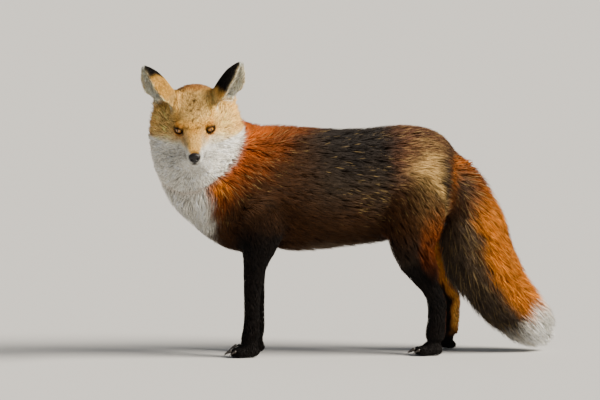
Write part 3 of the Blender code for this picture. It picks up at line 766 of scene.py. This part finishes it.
# Over the hide, in millimetres: each tuft's length and width, and how deep it stands.
to_back = ramp(-60, 40, hy) * ramp(10, 45, np.maximum(side_x, -hz) + 0.2 * hy)
head_length = 3.6 + 4.5 * ramp(-10, 60, hy) + 17 * to_back - 1.4 * ramp(-45, -70, hy)
length = np.where(is_head, head_length, from_nodes(HAIR_LENGTH))
length = np.where(is_ear, length, blurred(length, 12))
width = blurred(np.where(is_head, 0.75 + 0.045 * head_length, from_nodes(HAIR_WIDTH)), 8)
deep = depth / MM
in_cup = ear_inside * ear_share * ramp(1.0, 0.6, ear_height)
length += in_cup * 4
deep += in_cup * 2
length *= 1 - 0.35 * thin_edge
deep *= 1 - 0.5 * thin_edge
fringe = rim * ramp(0.75, 0.35, ear_height)
length += fringe * 7
deep += fringe * 1.5
width += ear_share * 0.15
beside_ear = ramp(0.02, 0.2, blurred(is_ear, 14)) * is_head * ramp(38, 26, side_x) * ramp(2, 16, hy)
length += beside_ear * 4
deep += beside_ear * 3
ruff = ramp(38, 52, side_x) * ramp(-10, 5, hy) * ramp(5, -20, hz) * is_head
full = np.clip(blurred(ruff, 6) + ramp(0.3, 0.8, bib) * neck_share, 0, 1)
clumping = np.clip(0.1 + 0.5 * ramp(8, 40, length), 0, 0.6)
deep *= 1 - 0.45 * leg_share
length *= 1 - 0.45 * ear_share * ramp(0.8, 1.0, ear_height)
density = 1 + 1.2 * ramp(10, 4, length) * head_share
for side in (1, -1):
    out, up, look = eye_place[side].T
    density[(inside_opening(out, up) > -1.1) & (look > -8) & (np.hypot(out, up) < 15)] = 0
    close = (look > -8) * ramp(14, 7, np.hypot(out, up))
    length *= 1 - 0.45 * close
    width *= 1 - 0.25 * close
from_nose = (place - in_head(np.array(centre("nose")))) / np.array(NOSE_BED)
density[size(from_nose) < 1] = 0
density[z < SOLE * MM] = 0
density[((lips > 0.55) & (hy < -58)) | (philtrum > 0.6)] = 0
belly_fringe = np.maximum(under, hem) * body_share
deep += 5 * belly_fringe
# Behind the thighs the long hair closes up to the tail, and the tail's own spreads to meet it.
tail_front = ramp(-0.2, -0.7, back_y) * tail_share * ramp(0.13, 0.17, z)
breeches = np.maximum(ramp(0.2, 0.7, back_y) * np.clip(thigh + share("shank"), 0, 1), tail_front)
breeches = blurred(breeches * ramp(0.13, 0.18, z) * ramp(0.31, 0.27, z), 4)
density *= 1 + 1.5 * breeches
length += 16 * breeches
deep += 13 * breeches
length = np.where(z < 30 * MM, np.minimum(length, 3 + 0.3 * z / MM), length)
to_tail_end = (way[belongs("tail")].max() - way) / MM
length = np.where(tail_share > 0.5, np.minimum(from_nodes(HAIR_LENGTH), to_tail_end + 14), length)
length = np.maximum(blurred(length, 2), SHORTEST)
deep *= 1 + 0.35 * full
# How far the tips may stand out past the solids' outline.
proud = 2.5 + 1.5 * ear_share + 5 * tail_share + 3 * beside_ear + 6 * full + 7 * belly_fringe + 16 * breeches

hide_surface = BVHTree.FromPolygons(points.tolist(), triangles.tolist())
polygon_of = read(skin.data.loop_triangles, "polygon_index", 1, np.int32)
first_loops = read(skin.data.polygons, "loop_start", 1, np.int32)
polygon_point = read(skin.data.loops, "vertex_index", 1, np.int32)[first_loops]
polygon_front = in_head(read(skin.data.polygons, "center", 3))[:, 1] < 20
triangle_loops = read(skin.data.loop_triangles, "loops", 3, np.int32)
lie_of_triangle = unit(lie[triangles].sum(1))
tint_of_triangle = tint[triangles].mean(1)
skin.data.uv_layers.new(name="OFBake")


def unwrapped(chosen=None):
    """A map of these faces of the hide that fills the square: where each triangle's corners are on it."""
    edit(skin, bpy.ops.uv.smart_project, chosen, angle_limit=math.radians(66), island_margin=0.004)
    return read(skin.data.uv_layers["OFBake"].uv, "vector", 2)[triangle_loops]


def set_map(mesh, layer, corners):
    mesh.uv_layers[layer].uv.foreach_set("vector", corners.astype(np.float32).ravel())


def inside_outline(where, most):
    """The points, those outside the body's outline by more than so much drawn in to it."""
    near, up, _ = nearest(solids, where)
    over = dot(where - near, up)[:, None]
    distance = np.linalg.norm(where - near, axis=1, keepdims=True)
    keep = np.where(over > most, most / np.maximum(distance, 1e-9), 1)
    return near + (where - near) * np.minimum(keep, 1)


def follow_hide(start, start_up, along, reach):
    """Half a tuft's reach on over the hide: the place, the normal and the triangle there, and which tufts
    go astray, past an edge or through to another side. Those go straight on."""
    ahead = start + along * reach * 0.5
    near, up, row = nearest(hide_surface, ahead)
    astray = size(near - start) > reach[:, 0] * 0.8
    astray |= dot(up, start_up) < 0.1
    near[astray] = ahead[astray]
    up[astray] = start_up[astray]
    return near, up, row, astray


def tufts_mesh(name, shape, flat):
    """All of a piece's tufts as one mesh. Each has three points at its root, three halfway and its tip."""
    sides = [(0, 1, 2)]
    for p, q in ((0, 1), (1, 2), (2, 0)):
        sides += [(p, p + 3, q + 3), (p, q + 3, q), (p + 3, 6, q + 3)]
    faces = (np.arange(len(shape))[:, None, None] * 7 + np.array(sides)).reshape(-1, 3)
    mesh = bpy.data.meshes.new(name)
    mesh.from_pydata(shape.reshape(-1, 3).tolist(), [], faces.tolist())
    mesh.uv_layers.new(name="OFBake")
    set_map(mesh, "OFBake", flat.reshape(-1, 2)[faces.ravel()])
    return mesh


def grow_coat(name, chosen, tufts, places):
    """One piece of coat: so many tufts rooted on the chosen faces of the hide."""
    room = np.where(chosen[polygon_of], double_area / 2 * density[triangles].mean(1), 0)
    total = np.cumsum(room)
    rows = np.searchsorted(total, (np.arange(tufts) + random.random(tufts)) / tufts * total[-1])
    rows = np.minimum(rows, len(total) - 1)
    u, v = random.random((2, tufts))
    flip = u + v > 1
    u[flip], v[flip] = 1 - u[flip], 1 - v[flip]
    weights = np.stack([1 - u - v, u, v], 1)[:, :, None]

    def at_root(field):
        return (field.reshape(count, -1)[triangles[rows]] * weights).sum(1)

    root = at_root(points)
    up = unit(at_root(normals))
    along = unit(at_root(lie))
    reach = at_root(length) * random.uniform(*LENGTH_SPREAD, (tufts, 1)) * MM
    stand = at_root(deep) * random.uniform(*DEPTH_SPREAD, (tufts, 1)) * MM
    stand = np.maximum(stand, reach * 0.16)
    wide = at_root(width) * random.uniform(*WIDTH_SPREAD, (tufts, 1)) * MM / 2
    # Tufts lean together in locks: each lock has a root of its own, and a lean to one side.
    locks = max(tufts // IN_A_LOCK, 1)
    lock_tree = KDTree(locks)
    for k in range(locks):
        lock_tree.insert(root[k * tufts // locks], k)
    lock_tree.balance()
    lock = np.array([lock_tree.find(point)[1] for point in root.tolist()])
    lock_root = root[lock * tufts // locks]
    lean = random.normal(0, LOCK_LEAN, (locks, 1))[lock] + random.normal(0, OWN_LEAN, (tufts, 1))
    along = unit(along + unit(np.cross(along, up)) * lean)
    half, half_up, row, lost = follow_hide(root, up, along, reach)
    onward = lie_of_triangle[row]
    onward = unit(onward + unit(np.cross(onward, half_up)) * lean)
    onward[lost] = along[lost]
    end, end_up, last_row, astray = follow_hide(half, half_up, onward, reach)
    pull = (lock_root - root) * at_root(clumping)
    middle = half + half_up * stand * 0.72 + pull * 0.45
    tip = inside_outline(end + end_up * stand + pull, at_root(proud) * MM)
    tip[:, 2] = np.maximum(tip[:, 2], TIP_CLEAR * MM)
    middle[:, 2] = np.maximum(middle[:, 2], MIDDLE_CLEAR * MM)
    side = unit(np.cross(along, up))
    mid_side = unit(np.cross(tip - root, half_up))
    sunk = root - up * 0.6 * MM
    thick = wide * 0.55
    shape = np.stack([
        sunk - side * wide * 0.8, sunk + side * wide * 0.8, sunk + (up - along) * 0.5 * thick * 1.4,
        middle - mid_side * wide, middle + mid_side * wide, middle + half_up * thick, tip,
    ], 1)

    # Colour: the hide's own at the root, darkened, then by the kind of hair.
    light = random.normal(1, 0.13, (tufts, 1)) + random.normal(0, 0.12, (locks, 1))[lock]
    light = np.clip(light, 0.6, 1.5)
    base = at_root(tint)
    middles = np.where(lost[:, None], base, tint_of_triangle[row])
    ends = np.where((lost | astray)[:, None], middles, tint_of_triangle[last_row])
    base, middles, ends = (np.clip(part * light, 0.004, 0.92) for part in (base, middles, ends * 1.1))
    chance = random.random(tufts)
    black = chance < at_root(black_tips)[:, 0]
    frost = chance > 1 - at_root(frosted)[:, 0]
    ends[black] = ends[black] * 0.25 + np.array(BLACK) * 0.6
    ends[frost] = ends[frost] * 0.4 + np.array(STRAW) * random.uniform(0.15, 0.5, (frost.sum(), 1))
    middles[black] *= 0.8
    middles[frost] = middles[frost] * 0.7 + ends[frost] * 0.2
    # The roots take 0.62 of the markings' colour: partly the darker underfur and partly painted shade deep in
    # the coat.
    colours = np.stack([base * 0.62] * 3 + [middles] * 3 + [ends], 1)

    spot = (places[rows] * weights).sum(1)
    patch = np.array([(0, 0), (1, 0), (0.5, 0.14), (0.05, 0.5), (0.95, 0.5), (0.5, 0.62), (0.5, 1)]) - 0.5
    mesh = tufts_mesh(name, shape, np.clip(spot[:, None] + patch * PATCH, 0, 1))
    coat = add_object(name, mesh)
    store_markings(coat, colours.reshape(-1, 3))
    mesh.shade_smooth()
    mesh.materials.append(fur)
    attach(coat, "root")


fur, tree, shader = new_material("fox fur", 0.58, 0.08)
add_hair_grain(tree, shader, 850, 0.62, 1.25)

for name, starts, tufts in COATS:
    chosen = belongs(*starts)[polygon_point]
    if name == "face":
        chosen &= polygon_front
    if name == "ruff":
        chosen &= ~polygon_front
    grow_coat("coat_" + name, chosen, tufts, unwrapped(chosen))
unwrapped()

# ---------------- the eyes
# Blown glass eyes: an amber iris with fine spokes round an upright pupil, a dark ring at its edge, and a
# clear bulging front. They are set deep, so that the lids cover their edges.
IRIS_DARK = (0.26, 0.075, 0.005)
IRIS_LIGHT = (0.78, 0.34, 0.04)
IRIS_RING = (0.02, 0.012, 0.008)
PUPIL = (0.002, 0.002, 0.002)
PUPIL_NARROWING = 2.1
EYE_BULGE = 0.9


def calculate(tree, operation, *values):
    node = add_node(tree, "ShaderNodeMath", enumerate(values), operation=operation)
    return node.outputs["Value"]


def mixed(tree, mask, first, second):
    inputs = {"Factor": mask, "A": first, "B": second}
    return add_node(tree, "ShaderNodeMix", inputs, data_type="RGBA").outputs["Result"]


def between(tree, value, low, high):
    inputs = {"Value": value, "From Min": low, "From Max": high}
    node = add_node(tree, "ShaderNodeMapRange", inputs, interpolation_type="SMOOTHSTEP")
    return node.outputs["Result"]


def from_middle(tree, across, upward):
    squares = [calculate(tree, "MULTIPLY", value, value) for value in (across, upward)]
    return calculate(tree, "SQRT", calculate(tree, "ADD", *squares))


def add_ball(name, sides, rings):
    """A ball of radius 1 at the middle of the scene, and its points."""
    deselect()
    bpy.ops.mesh.primitive_uv_sphere_add(segments=sides, ring_count=rings, radius=1)
    ball = bpy.context.object
    ball.name = name
    ball.data.uv_layers[0].name = "OFBake"
    ball.data.shade_smooth()
    return ball, read(ball.data.vertices, "co", 3)


glass_eye, tree, shader = new_material("amber glass eye", 0.08)
shader.inputs["Coat Weight"].default_value = 1.0
shader.inputs["Coat Roughness"].default_value = 0.02
gaze = add_node(tree, "ShaderNodeUVMap", uv_map="gaze").outputs["UV"]
apart = add_node(tree, "ShaderNodeSeparateXYZ", {"Vector": gaze}).outputs
across = calculate(tree, "SUBTRACT", apart["X"], 0.5)
upward = calculate(tree, "SUBTRACT", apart["Y"], 0.5)
radius = from_middle(tree, across, upward)
slit = from_middle(tree, calculate(tree, "MULTIPLY", across, PUPIL_NARROWING), upward)
angle = calculate(tree, "ARCTAN2", upward, across)
turned = add_node(tree, "ShaderNodeCombineXYZ", {
    "X": calculate(tree, "COSINE", angle), "Y": calculate(tree, "SINE", angle),
    "Z": calculate(tree, "MULTIPLY", radius, 0.35),
}).outputs["Vector"]
spokes = add_node(tree, "ShaderNodeTexNoise", {"Vector": turned, "Scale": 26, "Detail": 4}).outputs["Fac"]
iris = mixed(tree, spokes, IRIS_DARK, IRIS_LIGHT)
iris = mixed(tree, between(tree, radius, 0.27, 0.36), iris, IRIS_RING)
iris = mixed(tree, between(tree, slit, 0.165, 0.14), iris, PUPIL)
tree.links.new(iris, shader.inputs["Base Color"])

for side, name in ((1, "left"), (-1, "right")):
    axes = eye_axes(side)
    eye, ball = add_ball("glass_eye_" + name, 48, 32)
    local = ball * EYE_RADIUS
    local[:, 2] += EYE_BULGE * bell((np.hypot(ball[:, 0], ball[:, 1]), 0.5)) * (ball[:, 2] > 0)
    set_points(eye, out_of_head(local @ axes + in_head(np.array(centre("eye_" + name)))))
    if np.linalg.det(axes) < 0:
        eye.data.flip_normals()
    front = ball[:, :2] * 0.5 + 0.5
    front[ball[:, 2] < 0] = 0.01
    eye.data.uv_layers.new(name="gaze")
    set_map(eye.data, "gaze", front[read(eye.data.loops, "vertex_index", 1, np.int32)])
    eye.data.materials.append(glass_eye)
    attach(eye, "root")
    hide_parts("eye_" + name)

# ---------------- the nose
# The nose pad: bare black leather, pebbled and a little moist, with comma-shaped nostrils that open to the
# sides and a groove down its middle that runs into the upper lip.
NOSE_SIZE = np.array([10.4, 7.8, 9.2])  # half its width, length and height
NOSE_PLACE = np.array([0, 0.3, -1.0])
NOSTRIL_DEPTH = 4.4
SLIT_DEPTH = 2.6
GROOVE_DEPTH = 1.1
nose, ball = add_ball("nose_pad", 64, 40)
shape = ball * NOSE_SIZE
shape[:, 0] *= 1 + 0.16 * ball[:, 2]
shape[:, 1] += 1.3 * ramp(-0.2, -1, ball[:, 1]) * (1 - np.hypot(ball[:, 0], ball[:, 2]))
across, upward = np.abs(shape[:, 0]), shape[:, 2]
hollow = NOSTRIL_DEPTH * bell((across - 4.3, 2.0), (upward + 0.4, 2.1))
hollow += SLIT_DEPTH * bell((across - 7.2, 2.2), (upward + 2.4, 1.2))
hollow += GROOVE_DEPTH * bell((across, 0.7)) * ramp(2, -2, upward)
shape[:, 1] += hollow * ramp(0.15, -0.45, ball[:, 1])
set_points(nose, out_of_head(shape + NOSE_PLACE + in_head(np.array(centre("nose")))))
leather, tree, shader = new_material("black nose leather", 0.34, 0.32, (0.008, 0.007, 0.007))
where = add_node(tree, "ShaderNodeTexCoord").outputs["Object"]
pebbles = add_node(tree, "ShaderNodeTexVoronoi", {"Vector": where, "Scale": 1300}).outputs["Distance"]
pebbled = mixed(tree, pebbles, (0.005, 0.0045, 0.0045), (0.018, 0.015, 0.015))
tree.links.new(pebbled, shader.inputs["Base Color"])
add_bump(tree, shader, pebbles, 0.5, 0.4 * MM, invert=True)
nose.data.materials.append(leather)
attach(nose, "root")
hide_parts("nose")

# ---------------- whiskers
# Long stiff black bristles, set by hand in rows on each side of the muzzle, swept back and a little down.
WHISKER_ROWS = 3
WHISKERS_IN_ROW = 4
WHISKER_THICK = 0.26
WHISKER_SIDES = 5
WHISKER_RINGS = 9
along = np.linspace(0, 1, WHISKER_RINGS)[:, None, None]
turns = np.arange(WHISKER_SIDES)[:, None] * 2 * math.pi / WHISKER_SIDES
whisker_points, whisker_faces = [], []
for side in (1, -1):
    for row in range(WHISKER_ROWS):
        for k in range(WHISKERS_IN_ROW):
            start = np.array([side * (12.0 + 1.6 * k), -66 + 7.0 * k, -22 - 4.0 * row - 0.6 * k])
            start = in_head(nearest(hide_surface, out_of_head(start[None]))[0])[0]
            reach = 34 + 12 * k - 4 * row + 3 * random.random()
            heading = unit(np.array([side * 1.0, 0.05 - 0.12 * k + 0.1 * random.random(), 0.02 - 0.14 * row]))
            sideways = unit(np.cross(heading, np.array([0, 0, 1.0])))
            over = np.cross(sideways, heading)
            droop = np.array([-side * 0.06, 0.36, -0.16])
            middle = start + heading * reach * along + droop * reach * along**2
            round_it = (sideways * np.cos(turns) + over * np.sin(turns)) * WHISKER_THICK
            first = len(whisker_points)
            whisker_points += (middle + round_it * (1 - 0.85 * along)).reshape(-1, 3).tolist()
            last = len(whisker_points) - WHISKER_SIDES
            for near in range(first, last, WHISKER_SIDES):
                for turn in range(WHISKER_SIDES):
                    after = (turn + 1) % WHISKER_SIDES
                    whisker_faces.append([
                        near + turn, near + after, near + after + WHISKER_SIDES, near + turn + WHISKER_SIDES,
                    ])
            whisker_faces += [list(range(end, end + WHISKER_SIDES)) for end in (first, last)]
mesh = bpy.data.meshes.new("whiskers")
mesh.from_pydata(out_of_head(np.array(whisker_points)).tolist(), [], whisker_faces)
whiskers = add_object("whiskers", mesh)
edit(whiskers, bpy.ops.mesh.normals_make_consistent, inside=False)
mesh.shade_smooth()
bristle, tree, shader = new_material("black whisker", 0.45, colour=(0.02, 0.018, 0.016))
mesh.materials.append(bristle)
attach(whiskers, "root")

# ---------------- claws
# Dark blunt horn, four to a paw: each leaves the end of its toe and curves down, clear of the floor.
CLAW_LENGTH = 14 * MM
CLAW_ROOT = 2.7 * MM
CLAW_TIP = 0.5 * MM
IN_TOE = 1.5 * MM  # how far the horn reaches back into the toe
BELOW_TOP = 2.2 * MM
ABOVE_SOLE = 1.0 * MM
horn, tree, shader = new_material("dark claw horn", 0.35, colour=(0.045, 0.036, 0.03))
where = add_node(tree, "ShaderNodeTexCoord").outputs["Object"]
stretched = add_node(tree, "ShaderNodeMapping", {"Vector": where, "Scale": (1, 0.12, 0.4)}).outputs["Vector"]
streaks = add_node(tree, "ShaderNodeTexNoise", {"Vector": stretched, "Scale": 500}).outputs["Fac"]
streaked = mixed(tree, streaks, (0.012, 0.01, 0.009), (0.06, 0.046, 0.036))
tree.links.new(streaked, shader.inputs["Base Color"])
for name in [part["node"] for part in frame["record"]["subparts"] if part["node"].startswith("claw")]:
    low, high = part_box(name)
    deselect()
    bpy.ops.mesh.primitive_cone_add(vertices=12, radius1=CLAW_ROOT, radius2=CLAW_TIP, depth=CLAW_LENGTH)
    claw = bpy.context.object
    claw.name = "horn_" + name
    edit(claw, bpy.ops.mesh.subdivide, number_cuts=5)
    cone = read(claw.data.vertices, "co", 3)
    t = np.clip(cone[:, 2] / CLAW_LENGTH + 0.5, 0, 1)
    drop = high.z - low.z - BELOW_TOP - ABOVE_SOLE
    bent = np.empty_like(cone)
    bent[:, 0] = (low.x + high.x) / 2 + cone[:, 0] * 0.8
    bent[:, 1] = high.y + IN_TOE - (high.y - low.y + IN_TOE) * t
    bent[:, 2] = high.z - BELOW_TOP - drop * t**1.7 + cone[:, 1]
    set_points(claw, bent)
    edit(claw, bpy.ops.mesh.normals_make_consistent, inside=False)
    claw.data.shade_smooth()
    claw.data.materials.append(horn)
    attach(claw, "root")
    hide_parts(name)

# ---------------- floor, light and camera
# A plain pale floor, a broad warm light from beyond the tail, a soft pale surround, and a long lens at the
# fox's left side, a little above it.
KEY_ENERGY = 9.4
KEY_WIDTH = math.radians(30)
KEY_COLOUR = (1.0, 0.93, 0.82)
KEY_FROM = Vector((0.28, 0.74, 0.61))
AZIMUTH, ELEVATION = math.radians(83), math.radians(5)
DISTANCE = 12
TOWARDS_HEAD = Vector((-0.035, -0.084, 0))
AIM_HEIGHT = 0.52  # of the fox's own height
deselect()
bpy.ops.mesh.primitive_circle_add(vertices=64, radius=60, fill_type="NGON")
floor = bpy.context.object
floor.name = "floor"
plain, tree, shader = new_material("plain pale floor", 0.9, colour=(0.56, 0.55, 0.53))
floor.data.materials.append(plain)

key = bpy.data.lights.new("key", "SUN")
key.energy = KEY_ENERGY
key.angle = KEY_WIDTH
key.color = KEY_COLOUR
add_object("key", key).rotation_euler = KEY_FROM.to_track_quat("Z", "Y").to_euler()
# The camera sees a backdrop of its own brightness, and the fox is lit by the dimmer surround.
world = bpy.data.worlds.new("studio")
bpy.context.scene.world = world
world.use_nodes = True
tree = world.node_tree
surround = tree.nodes["Background"]
surround.inputs["Color"].default_value = (0.92, 0.95, 1.0, 1)
surround.inputs["Strength"].default_value = 0.3
backdrop = add_node(tree, "ShaderNodeBackground", {"Color": (1.0, 0.985, 0.96), "Strength": 0.86})
either = add_node(tree, "ShaderNodeMixShader", {
    "Fac": add_node(tree, "ShaderNodeLightPath").outputs["Is Camera Ray"],
    1: surround.outputs["Background"], 2: backdrop.outputs["Background"],
})
tree.links.new(either.outputs["Shader"], tree.nodes["World Output"].inputs["Surface"])

lens = bpy.data.cameras.new("long lens")
lens.sensor_width = 36
lens.lens = 400
camera = add_object("camera", lens)
low, high = cad_box
target = (low + high) / 2 + TOWARDS_HEAD
target.z = high.z * AIM_HEIGHT
camera.rotation_euler = (math.pi / 2 - ELEVATION, 0, AZIMUTH)
camera.location = target + camera.rotation_euler.to_matrix() @ Vector((0, 0, DISTANCE))
bpy.context.scene.camera = camera
